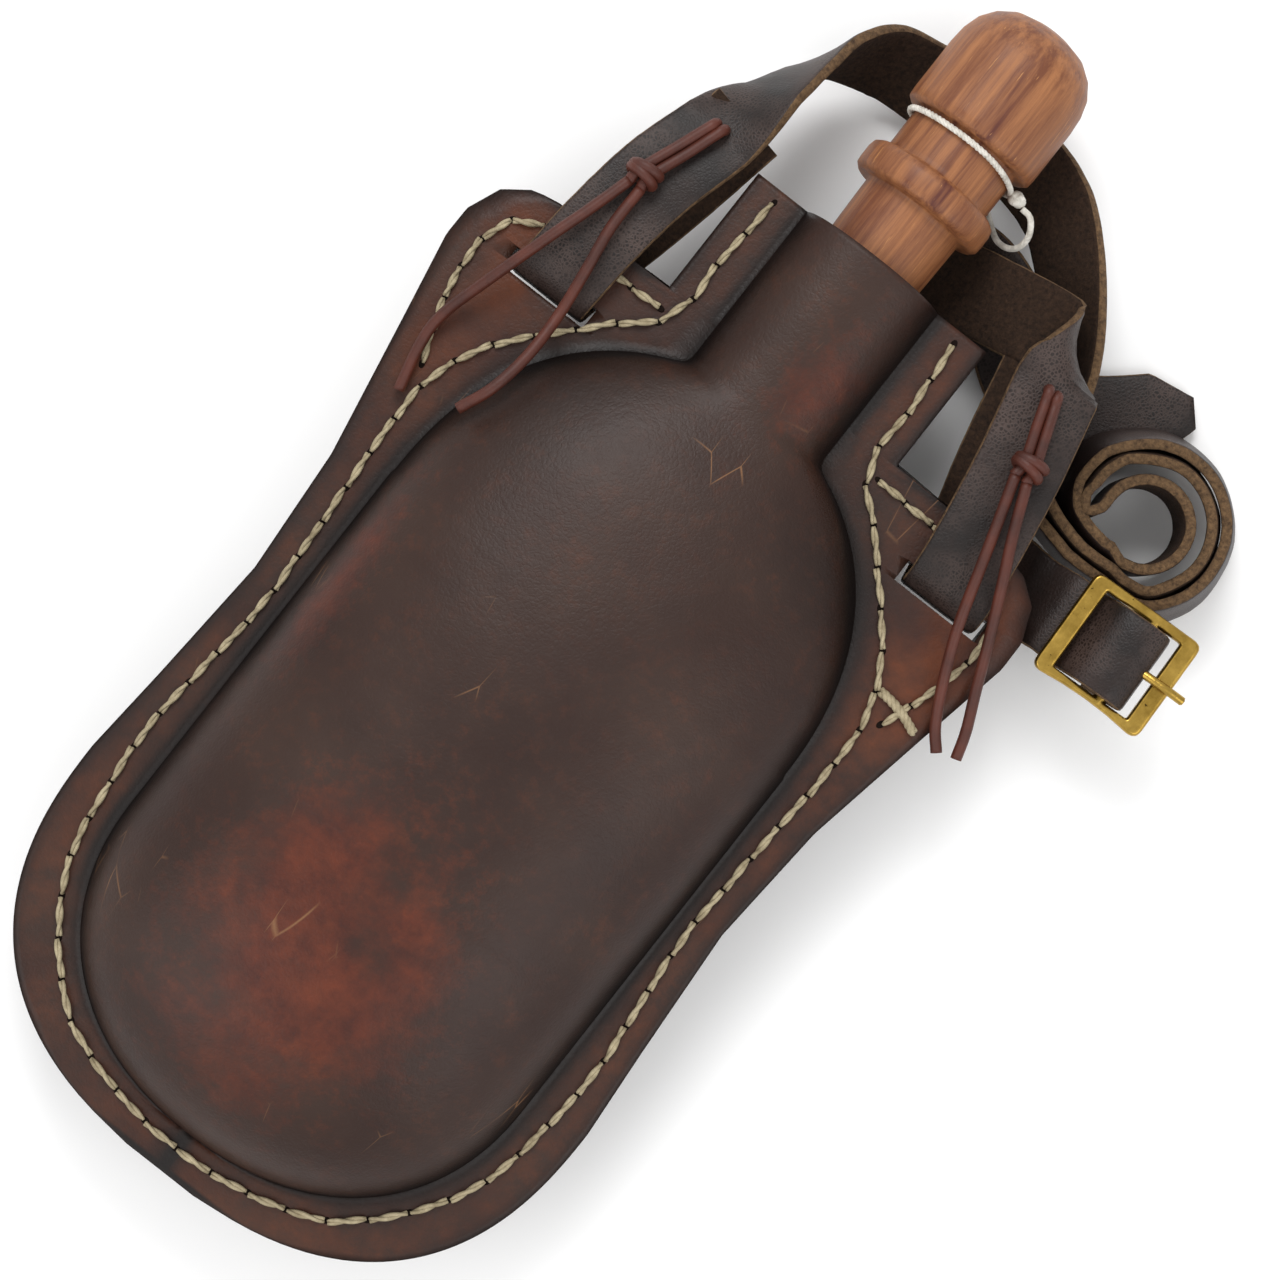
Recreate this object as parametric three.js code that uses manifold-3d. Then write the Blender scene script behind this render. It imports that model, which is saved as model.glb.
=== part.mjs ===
// Leather canteen (costrel) lying on its flat back: two moulded leather halves sewn round the
// edge, a wooden stopper with a string, and a two-piece sling with a buckle.
// Millimetres. +Z comes out of the front face, +Y runs along the bottle axis to the mouth.
// The origin is the middle of the flat back rest face.
import * as THREE from 'three';
import { mergeVertices } from 'three/addons/utils/BufferGeometryUtils.js';
import Module from 'manifold-3d';

const wasm = await Module();
wasm.setup();

// ---- driving dimensions -------------------------------------------------------------------
const PARTING_Z = 28;          // plane where the two leather halves meet
const LEATHER = 3.7;           // body leather thickness
const GAP = 0.3;               // gap between touching pieces
const FINEST = 0.03;           // no facet detail finer than this is kept
const MOUTH_Y = 150;           // end of the neck
const FLANGE_MOUTH_Y = 147;    // end of the sewn flange beside the neck
const BASE_Y = -88.3;          // lower end of the bulge
const BODY_HALF_WIDTH = 53;    // bulge half width
const LOW_CENTRE_Y = -40;      // below this the bulge narrows to the base
const HIGH_CENTRE_Y = 50;      // above this it narrows to the neck
const SHOULDER_RUN = 58;
const NECK_HALF_WIDTH = 18;
const NECK_HEIGHT = 16.5;
const FRONT_HEIGHT = 32;       // bulge height over the parting plane
const BACK_HEIGHT = 31;        // before the back is pressed flat at z = 0
const PEAK_Y = -15;
const ROUNDNESS = 2.2;         // superellipse exponent of the bulge
const SEAM_STITCHES = 64;
const TAB_STITCHES = 10;
const THREAD_RADIUS = 0.8;
const STRAP_WIDTH = 19;
const STRAP_THICKNESS = 2.6;
const SLOTS = [{ x: -50.6, y: 100.5 }, { x: 56, y: 99.5 }];
const SLOT_LENGTH = 21.5;
const SLOT_WIDTH = 5;
const COIL = { x: 80.9, y: 140.3, z: 13.2 };
const COIL_FLARE = 0.2;        // outward lean of the coil's lower edge, as a slope
const BUCKLE = { x: 92.7, y: 113.8, z: 28.2, turn: 0.04 };
const BUCKLE_BAR_U = 2.5;      // middle bar, from the buckle's centre along the strap
const BUCKLE_BAR_RADIUS = 1.5;
const STRAP_FOLD_RADIUS = 3.9; // strap centre line round the middle bar
const THONG_RADIUS = 1.25;
const STRING_RADIUS = 0.7;

const LEATHER_DARK = { color: 0x40342f, roughness: 0.5, metalness: 0 };
const THREAD = { color: 0xb9ad94, roughness: 0.8, metalness: 0 };
const STRAP = { color: 0x2b211d, roughness: 0.55, metalness: 0 };
const THONG = { color: 0x6e3a2c, roughness: 0.6, metalness: 0 };
const BRASS = { color: 0xb79a45, roughness: 0.35, metalness: 1 };
const WOOD = { color: 0xa5683f, roughness: 0.55, metalness: 0 };
const STRING = { color: 0xd9d5cc, roughness: 0.85, metalness: 0 };

const part = new THREE.Group();

function addMesh(name, geometry, look, parent = part) {
  const mesh = new THREE.Mesh(geometry, new THREE.MeshStandardMaterial(look));
  mesh.name = name;
  parent.add(mesh);
  return mesh;
}

// ---- solids -------------------------------------------------------------------------------
function toSolid(geometry) {
  const bare = geometry.clone();
  bare.deleteAttribute('normal');
  bare.deleteAttribute('uv');
  const merged = mergeVertices(bare, 1e-4);
  return new wasm.Manifold(new wasm.Mesh({
    numProp: 3,
    vertProperties: new Float32Array(merged.attributes.position.array),
    triVerts: new Uint32Array(merged.index.array),
  }));
}

function toGeometry(solid) {
  const mesh = solid.simplify(FINEST).getMesh();
  return indexed(Array.from(mesh.vertProperties), Array.from(mesh.triVerts));
}

function indexed(positions, triangles) {
  const geometry = new THREE.BufferGeometry();
  geometry.setAttribute('position', new THREE.Float32BufferAttribute(positions, 3));
  geometry.setIndex(triangles);
  geometry.computeVertexNormals();
  return geometry;
}

// Joins rings of points into a closed skin; every ring has the same number of points.
function skin(rings) {
  const count = rings[0].length;
  const positions = rings.flat().flatMap((p) => [p.x, p.y, p.z]);
  const triangles = [];
  for (let j = 0; j + 1 < rings.length; j += 1) {
    for (let i = 0; i < count; i += 1) {
      const a = j * count + i;
      const b = j * count + ((i + 1) % count);
      triangles.push(a, b, a + count, b, b + count, a + count);
    }
  }
  const last = (rings.length - 1) * count;
  for (let i = 1; i + 1 < count; i += 1) {
    triangles.push(0, i + 1, i);
    triangles.push(last, last + i, last + i + 1);
  }
  return indexed(positions, triangles);
}

function boxSolid(low, high) {
  const size = high.clone().sub(low);
  const geometry = new THREE.BoxGeometry(size.x, size.y, size.z);
  const middle = low.clone().add(high).multiplyScalar(0.5);
  return toSolid(geometry.translate(middle.x, middle.y, middle.z));
}

// A flat strap through stations [x, y, z, wx, wy, wz]; w points across the strap.
function strapGeometry(stations, step = 3.5) {
  const centre = new THREE.CatmullRomCurve3(
    stations.map((s) => new THREE.Vector3(s[0], s[1], s[2])), false, 'centripetal');
  const rings = [];
  for (let k = 0; k + 1 < stations.length; k += 1) {
    const from = new THREE.Vector3(...stations[k].slice(0, 3));
    const to = new THREE.Vector3(...stations[k + 1].slice(0, 3));
    const parts = Math.max(1, Math.round(from.distanceTo(to) / step));
    for (let m = 0; m < parts + (k + 2 === stations.length ? 1 : 0); m += 1) {
      rings.push(strapRing(centre, stations, k, m / parts));
    }
  }
  return skin(rings);
}

function strapRing(centre, stations, k, share) {
  const t = (k + share) / (stations.length - 1);
  const along = centre.getTangent(t);
  const across = new THREE.Vector3(...stations[k].slice(3))
    .lerp(new THREE.Vector3(...stations[k + 1].slice(3)), share);
  across.addScaledVector(along, -across.dot(along)).normalize();
  const out = along.clone().cross(across);
  const middle = centre.getPoint(t);
  return [[-1, -1], [1, -1], [1, 1], [-1, 1]].map(([u, v]) => middle.clone()
    .addScaledVector(across, (u * STRAP_WIDTH) / 2)
    .addScaledVector(out, (v * STRAP_THICKNESS) / 2));
}

function roundSection(radius, sides) {
  const shape = new THREE.Shape();
  for (let i = 0; i < sides; i += 1) {
    const angle = (2 * Math.PI * i) / sides;
    const method = i ? 'lineTo' : 'moveTo';
    shape[method](radius * Math.cos(angle), radius * Math.sin(angle));
  }
  shape.closePath();
  return shape;
}

function tube(points, radius, steps, sides = 8) {
  const path = new THREE.CatmullRomCurve3(points.map((p) => new THREE.Vector3(...p)));
  return new THREE.ExtrudeGeometry(roundSection(radius, sides), {
    steps, bevelEnabled: false, extrudePath: path,
  });
}

// ---- leather halves -----------------------------------------------------------------------
function superellipse(share, power = ROUNDNESS) {
  return Math.max(0, 1 - Math.abs(share) ** power) ** (1 / ROUNDNESS);
}

function softMax(a, b, blend = 3) {
  return (a + b + Math.hypot(a - b, blend)) / 2 - blend / 8;
}

function bulgeHalfWidth(y) {
  if (y < LOW_CENTRE_Y) {
    return BODY_HALF_WIDTH * superellipse((y - LOW_CENTRE_Y) / (LOW_CENTRE_Y - BASE_Y));
  }
  if (y < HIGH_CENTRE_Y) return BODY_HALF_WIDTH;
  const body = BODY_HALF_WIDTH * superellipse(Math.min(1, (y - HIGH_CENTRE_Y) / SHOULDER_RUN));
  return softMax(body, NECK_HALF_WIDTH);
}

function bulgeHeight(y, peak) {
  const run = y < PEAK_Y ? PEAK_Y - BASE_Y : 128;
  const body = peak * superellipse(Math.min(1, Math.abs(y - PEAK_Y) / run), 2.4);
  return y < PEAK_Y ? body : softMax(body, NECK_HEIGHT);
}

// A closed half bulge over the plane z = 0; inset shrinks it all round.
function halfBulge(peak, inset, endY, floor) {
  const rings = [];
  const lengths = 20;
  const turns = 14;
  for (let j = 0; j <= lengths; j += 1) {
    const share = j / lengths;
    const y = BASE_Y + inset + (endY - BASE_Y - inset) * share ** 1.5 + 0.1;
    const outerY = y + inset * THREE.MathUtils.clamp(y / HIGH_CENTRE_Y, -1, 1);
    const width = Math.max(0.5, bulgeHalfWidth(outerY) - inset);
    const height = Math.max(0.3, bulgeHeight(outerY, peak) - inset);
    const ring = [new THREE.Vector3(width, y, floor)];
    for (let i = 1; i < turns; i += 1) {
      const angle = (Math.PI * i) / turns;
      const power = 2 / ROUNDNESS;
      const x = Math.sign(Math.cos(angle)) * Math.abs(Math.cos(angle)) ** power * width;
      ring.push(new THREE.Vector3(x, y, Math.sin(angle) ** power * height));
    }
    ring.push(new THREE.Vector3(-width, y, floor));
    rings.push(ring.reverse());
  }
  return toSolid(skin(rings));
}

function flangeOutline() {
  const low = [];
  for (let i = 0; i <= 10; i += 1) {
    const angle = (Math.PI / 2) * (i / 10);
    const x = 66.9 * Math.sin(angle) ** 0.8;
    low.push(new THREE.Vector2(x, -36 - 62 * Math.cos(angle) ** 0.8));
  }
  const side = new THREE.SplineCurve([[66.9, -36], [65.2, -15], [63.2, 15], [65.3, 44],
    [71.2, 76], [75.4, 99]].map((p) => new THREE.Vector2(...p))).getPoints(12);
  const corner = new THREE.QuadraticBezierCurve(new THREE.Vector2(75.4, 99),
    new THREE.Vector2(74.5, 116), new THREE.Vector2(60, 116)).getPoints(6);
  const neck = [new THREE.Vector2(31, 116), new THREE.Vector2(30.8, FLANGE_MOUTH_Y)];
  const right = [...low, ...side.slice(1), ...corner.slice(1), ...neck];
  const left = right.slice(1).reverse().map((p) => new THREE.Vector2(-p.x, p.y));
  return new THREE.Shape([...right, ...left]);
}

function slotHole({ x, y }) {
  const half = SLOT_LENGTH / 2;
  const hole = new THREE.Path();
  hole.moveTo(x - half, y - SLOT_WIDTH / 2);
  hole.lineTo(x - half, y + SLOT_WIDTH / 2);
  hole.lineTo(x + half, y + SLOT_WIDTH / 2);
  hole.lineTo(x + half, y - SLOT_WIDTH / 2);
  hole.closePath();
  return hole;
}

function leatherHalf(peak) {
  const outline = flangeOutline();
  outline.holes = SLOTS.map(slotHole);
  const flange = toSolid(new THREE.ExtrudeGeometry(outline, { depth: LEATHER, bevelEnabled: false }));
  const outer = halfBulge(peak, 0, MOUTH_Y, 0);
  const inner = halfBulge(peak, LEATHER, MOUTH_Y + 5, -1);
  return flange.add(outer).subtract(inner);
}

const half = GAP / 2;
const front = leatherHalf(FRONT_HEIGHT).translate([0, 0, PARTING_Z + half]);
addMesh('front_shell', toGeometry(front), LEATHER_DARK);

const restCut = boxSolid(new THREE.Vector3(-100, -120, -50), new THREE.Vector3(100, 200, 0));
const backFloor = boxSolid(new THREE.Vector3(-46, -70, 0), new THREE.Vector3(46, 80, LEATHER));
const backOuter = halfBulge(BACK_HEIGHT, 0, MOUTH_Y, 0).mirror([0, 0, 1])
  .translate([0, 0, PARTING_Z - half]);
const back = leatherHalf(BACK_HEIGHT).mirror([0, 0, 1]).translate([0, 0, PARTING_Z - half])
  .add(backFloor.intersect(backOuter)).subtract(restCut);
addMesh('back_shell', toGeometry(back), LEATHER_DARK);

// ---- stitching ----------------------------------------------------------------------------
// One run of stitches: the thread swells between awl holes and pinches in at each hole.
function stitchRun(points, stitches, z) {
  const path = new THREE.CatmullRomCurve3(points.map((p) => new THREE.Vector3(p[0], p[1], z)));
  const rings = [];
  const up = new THREE.Vector3(0, 0, 1);
  for (let k = 0; k <= 2 * stitches; k += 1) {
    const t = k / (2 * stitches);
    const middle = path.getPointAt(t);
    const side = up.clone().cross(path.getTangentAt(t)).normalize();
    const radius = k % 2 ? THREAD_RADIUS : THREAD_RADIUS * 0.6;
    rings.push([0, 1, 2, 3].map((i) => middle.clone()
      .addScaledVector(side, radius * Math.cos((Math.PI * i) / 2))
      .addScaledVector(up, radius * Math.sin((Math.PI * i) / 2))));
  }
  return skin(rings);
}

const SEAM_HALF = [[24.3, 144], [25.6, 128], [26, 112], [36, 102], [47, 90], [53, 83], [57.5, 74],
  [59.5, 62], [58, 34], [57, 9], [59.5, -17], [59.8, -32], [56.5, -56], [51, -67], [42, -78.5],
  [28, -87.6]];
const TAB_SEAM = [[29.5, 111.5], [41, 111], [62, 109.5], [67.8, 102], [68.2, 91], [65.6, 81],
  [62, 71]];
const mirrored = (points) => points.map(([x, y]) => [-x, y]);
const seam = [...SEAM_HALF, [0, -92.3], ...mirrored(SEAM_HALF).reverse()];
const stitchLift = LEATHER + GAP + THREAD_RADIUS + half;
for (const [face, side] of [['front', 1], ['back', -1]]) {
  const z = PARTING_Z + side * stitchLift;
  addMesh(`seam_thread_${face}`, stitchRun(seam, SEAM_STITCHES, z), THREAD);
  addMesh(`right_tab_thread_${face}`, stitchRun(TAB_SEAM, TAB_STITCHES, z), THREAD);
  addMesh(`left_tab_thread_${face}`, stitchRun(mirrored(TAB_SEAM), TAB_STITCHES, z), THREAD);
}

// ---- sling straps -------------------------------------------------------------------------
const flat = [1, 0, 0];
const LEFT_TAB_STATIONS = [
  [-39.4, 154.5, 29.9, ...flat], [-44, 132, 26, ...flat], [-48.5, 114, 20.5, ...flat],
  [-50.2, 104.5, 20.3, ...flat], [-50.6, 100.5, 23.6, ...flat], [-50.6, 100.3, 28, ...flat],
  [-50.6, 100.7, 32, ...flat], [-50, 105, 35.6, ...flat], [-49.2, 116, 36.4, ...flat],
  [-47, 132, 35.4, ...flat], [-42.7, 148, 33.4, 1, 0, 0.15],
];
const ARCH_STATIONS = [
  [-39, 162.6, 30, 0.57, 0, 0.82], [-36.4, 173, 24, 0.25, -0.05, 0.97],
  [-32, 181, 18, -0.2, 0.1, 0.97], [-24.5, 186.3, 12, -0.45, 0.5, 0.74],
  [-13, 188.7, 7, -0.15, 0.85, 0.45], [0, 189.3, 4, 0, 1, 0.15],
  [13, 187.8, 7, 0.15, 0.85, 0.45], [25, 183, 12, 0.45, 0.6, 0.66],
  [36, 173, 15.4, 0.5, 0.4, 0.77], [46.4, 161.2, 17.8, 0.35, 0.2, 0.9],
  [52.6, 150, 14.4, 0.15, 0.05, 0.98], [54.4, 141, 13.6, 0, 0, 1],
  [58, 134, 13.2, 0, 0, 1], [65, 130.1, 13.2, 0, 0, 1], [73, 128.1, 13.2, 0, 0, 1],
];
const INNER_LAYER = [[-90, 13.6], [-70, 14.8], [-45, 16.1], [0, 16.1], [45, 16.1], [90, 16.1],
  [135, 16.1], [160, 16], [180, 15.4]];
const BIGHT = [[66.9, 137.2], [69, 134.9], [71.2, 137.4]];
const BIGHT_LOOP = { radius: 9.7, from: 180, to: -85 };
const OUTER_LAYER = [[-105, 10.3], [-122, 11.7], [-145, 14.7], [-160, 17.2], [-180, 18.8],
  [-210, 19.3], [-250, 19.3], [-290, 19.3], [-330, 19.3], [-370, 19.3], [-405, 19.3],
  [-430, 18.1], [-450, 16.8]];
const BUCKLE_RUN_STATIONS = [
  [72, 124.9, 13.2, 0, 0, 1], [63, 127, 12, 0, 0, 1], [55, 128.4, 10.2, 0, 0, 1],
  [49, 126, 9.8, 0, 0, 1], [47.5, 121, 9.8, 0, 0, 1], [51, 116.6, 9.8, 0, 0.25, 0.95],
  [58, 114.8, 11, 0, 0.75, 0.6], [64, 113.9, 14.6, 0, 0.97, 0.22],
  [71.5, 113, 19.4, 0, 1, 0.03], [77.6, 113.4, 24.1, 0, 1, 0],
];

function coilStation([degrees, radius], lean = COIL_FLARE) {
  const angle = THREE.MathUtils.degToRad(degrees);
  return [COIL.x + radius * Math.cos(angle), COIL.y + radius * Math.sin(angle), COIL.z,
    -lean * Math.cos(angle), -lean * Math.sin(angle), 1];
}

function bightLoop() {
  const stations = [];
  for (let degrees = BIGHT_LOOP.from; degrees >= BIGHT_LOOP.to; degrees -= 22) {
    stations.push(coilStation([degrees, BIGHT_LOOP.radius], 0));
  }
  return stations;
}

// From the buckle's own frame (u along the strap, z up) to the part's.
function buckleStation([u, z]) {
  const x = BUCKLE.x + u * Math.cos(BUCKLE.turn);
  const y = BUCKLE.y + u * Math.sin(BUCKLE.turn);
  return [x, y, BUCKLE.z + z, -Math.sin(BUCKLE.turn), Math.cos(BUCKLE.turn), 0];
}

function chapeFold() {
  const fold = [];
  for (let degrees = 90; degrees >= -90; degrees -= 30) {
    const angle = THREE.MathUtils.degToRad(degrees);
    fold.push([BUCKLE_BAR_U + STRAP_FOLD_RADIUS * Math.cos(angle), STRAP_FOLD_RADIUS * Math.sin(angle)]);
  }
  return [[-11.5, -3.7], [-8.2, -3], [-3.6, 2.4], ...fold, [-2, -4]].map(buckleStation);
}

const leftStrap = strapGeometry([
  ...LEFT_TAB_STATIONS, ...ARCH_STATIONS,
  ...INNER_LAYER.map((s) => coilStation(s)),
  ...BIGHT.map(([x, y]) => [x, y, COIL.z, 0, 0, 1]),
  ...bightLoop(),
  ...OUTER_LAYER.map((s) => coilStation(s)),
  ...BUCKLE_RUN_STATIONS, ...chapeFold(),
]);
const tongueSlot = boxSolid(new THREE.Vector3(3.4, -1.8, -3.4), new THREE.Vector3(9, 1.8, 6))
  .rotate([0, 0, THREE.MathUtils.radToDeg(BUCKLE.turn)])
  .translate([BUCKLE.x, BUCKLE.y, BUCKLE.z]);
addMesh('strap_left', toGeometry(punch(toSolid(leftStrap), -42.9, 149.2).subtract(tongueSlot)), STRAP);

// The thong's hole goes through both strap layers above a tab.
function punch(strap, x, y) {
  const hole = new THREE.CylinderGeometry(2.4, 2.4, 24, 10).rotateX(Math.PI / 2).translate(x, y, 32);
  return strap.subtract(toSolid(hole));
}

const RIGHT_TAB_STATIONS = [
  [43.4, 151.4, 28.4, -1, 0, 0], [48, 131, 26, -1, 0, 0], [53.2, 114, 20.5, -1, 0, 0],
  [55.6, 103.5, 20.3, -1, 0, 0], [56, 99.5, 23.6, -1, 0, 0], [56, 99.3, 28, -1, 0, 0],
  [56, 99.7, 32, -1, 0, 0], [55.6, 104, 35.6, -1, 0, 0], [54, 115.6, 36.4, -1, 0, 0],
  [51.1, 132, 36.4, -1, 0, 0],
];
const ROLL = { x: 46.9, y: 150, z: 36.6, radius: 4.1 };
const RIGHT_END_STATIONS = [
  [24, 158, 18.8, 0, 1, 0.3], [12, 157, 10, 0, 1, 0.1], [0, 158, 8.3, 0, 1, 0],
  [-7, 158.6, 8, 0, 1, 0], [-11, 159, 5.1, 0, 1, 0], [-7, 159.4, 2.2, 0, 1, 0],
  [2, 161, 1.9, -0.2, 1, 0], [12, 163.5, 3.2, -0.1, 0.97, 0.2],
  [22, 163, 4.6, 0.1, 0.95, 0.3], [32, 158, 3.4, 0, 1, 0.05],
  [39.5, 152.4, 2.2, -0.2, 0.97, 0], [46.5, 149.6, 1.8, -0.4, 0.9, 0],
  [54, 150.6, 1.7, -0.6, 0.8, 0], [62, 156, 1.7, -0.64, 0.77, 0],
  [69, 162.2, 1.7, -0.65, 0.76, 0], [76, 168.5, 1.7, -0.65, 0.76, 0],
];

// The strap rolls over backwards along a diagonal, like ribbon round a slanting rod.
function diagonalRoll() {
  const stations = [];
  const diagonal = Math.SQRT1_2;
  for (let degrees = 0; degrees <= 180; degrees += 30) {
    const a = THREE.MathUtils.degToRad(degrees);
    const over = ROLL.radius * Math.sin(a) * diagonal;
    const along = ROLL.radius * a * diagonal;
    stations.push([
      ROLL.x + over - along, ROLL.y + over + along, ROLL.z + ROLL.radius * (Math.cos(a) - 1),
      (-1 - Math.cos(a)) / 2, (1 - Math.cos(a)) / 2, diagonal * Math.sin(a),
    ]);
  }
  return stations;
}

// Cuts the two corners off the free end, leaving a blunt point.
function pointTip(strap) {
  const shape = (side) => new THREE.Shape([[-9, side * 10.5], [3, side * 10.5], [3, side * 3.6]]
    .map((p) => new THREE.Vector2(...p)));
  let pointed = strap;
  for (const side of [1, -1]) {
    const corner = new THREE.ExtrudeGeometry(shape(side), { depth: 12, bevelEnabled: false });
    corner.rotateZ(0.73).translate(76, 168.5, -4);
    pointed = pointed.subtract(toSolid(corner));
  }
  return pointed;
}

const rightStrap = strapGeometry([...RIGHT_TAB_STATIONS, ...diagonalRoll(), ...RIGHT_END_STATIONS]);
addMesh('strap_right', toGeometry(pointTip(punch(toSolid(rightStrap), 46.9, 148))), STRAP);

// ---- buckle -------------------------------------------------------------------------------
const buckle = new THREE.Group();
buckle.position.set(BUCKLE.x, BUCKLE.y, BUCKLE.z);
buckle.rotation.z = BUCKLE.turn;
part.add(buckle);

function buckleFrame() {
  const [length, height, endBar, rail] = [27.5, 24.6, 4.2, 2.5];
  const outer = new THREE.Shape();
  const [a, b, r] = [length / 2, height / 2, 2.2];
  outer.moveTo(-a + r, -b);
  outer.quadraticCurveTo(0, -b + 1.6, a - r, -b);
  outer.quadraticCurveTo(a, -b, a, -b + r);
  outer.lineTo(a, b - r);
  outer.quadraticCurveTo(a, b, a - r, b);
  outer.lineTo(-a + r, b);
  outer.quadraticCurveTo(-a, b, -a, b - r);
  outer.lineTo(-a, -b + r);
  outer.quadraticCurveTo(-a, -b, -a + r, -b);
  const [p, q] = [a - endBar, b - rail];
  outer.holes.push(new THREE.Path([[-p, -q], [-p, q], [p, q], [p, -q]].map((c) => new THREE.Vector2(...c))));
  const ring = new THREE.ExtrudeGeometry(outer, {
    depth: 1.6, bevelEnabled: true, bevelThickness: 0.6, bevelSize: 0.4, bevelOffset: -0.4,
    bevelSegments: 1, curveSegments: 4,
  });
  ring.translate(0, 0, -0.8);
  const bar = new THREE.CylinderGeometry(BUCKLE_BAR_RADIUS, BUCKLE_BAR_RADIUS, 2 * q + 2, 10);
  bar.translate(BUCKLE_BAR_U, 0, 0);
  return toGeometry(toSolid(ring).add(toSolid(bar)));
}
addMesh('buckle_frame', buckleFrame(), BRASS, buckle);

function buckleTongue() {
  const eye = new THREE.LatheGeometry([[1.75, -1.2], [2.4, -1.2], [2.4, 1.2], [1.75, 1.2], [1.75, -1.2]]
    .map((p) => new THREE.Vector2(...p)), 12);
  eye.translate(BUCKLE_BAR_U, 0, 0);
  const prong = tube([[4.2, 0, 1], [7, 0, 2.1], [10, 0, 2.8], [14, 0, 3], [17, 0, 2.6]], 1.05, 8);
  return toGeometry(toSolid(eye).add(toSolid(prong)));
}
addMesh('buckle_tongue', buckleTongue(), BRASS, buckle);

// ---- thongs -------------------------------------------------------------------------------
// Each thong is doubled: a knot behind the strap, two strands through the hole, a knot in front.
function thongTie(hole, knot, backZ, frontZ) {
  const strands = tube([[hole.x, hole.y, backZ], [hole.x, hole.y, frontZ - 1],
    [hole.x, hole.y, frontZ + 0.6], [(hole.x + knot.x) / 2, (hole.y + knot.y) / 2, frontZ + 2.6],
    [knot.x, knot.y, knot.z]], 2, 12);
  const back = new THREE.SphereGeometry(3, 10, 6).scale(1, 1, 0.4).translate(hole.x, hole.y, backZ);
  const front = new THREE.TorusGeometry(2.6, 1.4, 6, 12).rotateX(Math.PI / 2)
    .translate(knot.x, knot.y, knot.z);
  return toGeometry(toSolid(strands).add(toSolid(back)).add(toSolid(front)));
}

const TIES = [
  { side: 'left', hole: { x: -42.9, y: 149.2 }, knot: { x: -49.2, y: 131, z: 41 }, backZ: 26.2, frontZ: 37 },
  { side: 'right', hole: { x: 46.9, y: 148 }, knot: { x: 52.4, y: 132.4, z: 42.2 }, backZ: 22.8, frontZ: 40.4 },
];
const TAILS = {
  left_thong_tail_a: [[-50.7, 127.9, 40.8], [-53.5, 118, 41.2], [-56.6, 108, 41.5], [-61, 94, 39.5],
    [-64.6, 82, 36], [-64.6, 74, 34.6], [-62.2, 63.5, 34.2]],
  left_thong_tail_b: [[-47.7, 127.9, 40.8], [-47.6, 118, 41.4], [-46.2, 108, 41.4], [-45, 97, 39.5],
    [-44.6, 86, 42.5], [-46, 76, 44.4], [-49.2, 68, 43]],
  right_thong_tail_a: [[51.2, 129.3, 42], [54.5, 119, 42], [57.3, 110, 42], [61.5, 97, 40.2],
    [66.5, 86, 36.5], [71, 78, 34.4], [74.8, 73.5, 34]],
  right_thong_tail_b: [[54.2, 129.3, 42], [58.6, 119, 42], [63, 110, 41.6], [68.5, 99, 38],
    [73.2, 89, 34.8], [77, 81, 33.4], [79, 75, 32.8]],
};
for (const tie of TIES) {
  addMesh(`${tie.side}_thong_tie`, thongTie(tie.hole, tie.knot, tie.backZ, tie.frontZ), THONG);
}
for (const [name, points] of Object.entries(TAILS)) {
  addMesh(name, tube(points, THONG_RADIUS, 14), THONG);
}

// ---- stopper and its string ---------------------------------------------------------------
const STOPPER_PROFILE = [[0, 120], [9.6, 120], [10.6, 121], [11.9, 150], [12.15, 161.5], [14.8, 161.5],
  [16.25, 163], [16.25, 167.6], [14.8, 169], [13, 169], [13, 180], [15, 180], [16.25, 181.2],
  [16.25, 196], [15.4, 201], [13, 205.4], [9, 208.4], [4.5, 209.4], [0, 209.5]];
const stopper = new THREE.LatheGeometry(STOPPER_PROFILE.map((p) => new THREE.Vector2(...p)), 24);
addMesh('stopper', stopper.translate(0, 0, PARTING_Z), WOOD);

const LOOP_Y = 178.4;
const loop = new THREE.TorusGeometry(13 + GAP + STRING_RADIUS, STRING_RADIUS, 6, 24)
  .rotateX(Math.PI / 2).translate(0, LOOP_Y, PARTING_Z);
const knot = new THREE.SphereGeometry(2, 10, 6).translate(15.6, LOOP_Y - 1.5, PARTING_Z + 1.5);
addMesh('string_loop', toGeometry(toSolid(loop).add(toSolid(knot))), STRING);
const STRING_TAIL = [[17.9, 176, 29.5], [20.5, 175.6, 29.2], [22.6, 172.8, 27.8], [22.6, 170, 25],
  [20.8, 168.8, 21.2], [18, 169.2, 17.6], [15, 171.4, 14.6], [12, 174, 12.8], [10.4, 175.2, 12.4]];
addMesh('string_tail', tube(STRING_TAIL, STRING_RADIUS, 26), STRING);
const endKnot = new THREE.SphereGeometry(1.5, 8, 6).translate(8.4, 176.6, 12.4);
addMesh('string_end_knot', endKnot, STRING);

export default part;
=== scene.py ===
"""The leather canteen's looks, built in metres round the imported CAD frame."""
import math

import bmesh
import bpy
import numpy as np
from mathutils import Matrix, Vector, noise


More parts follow.
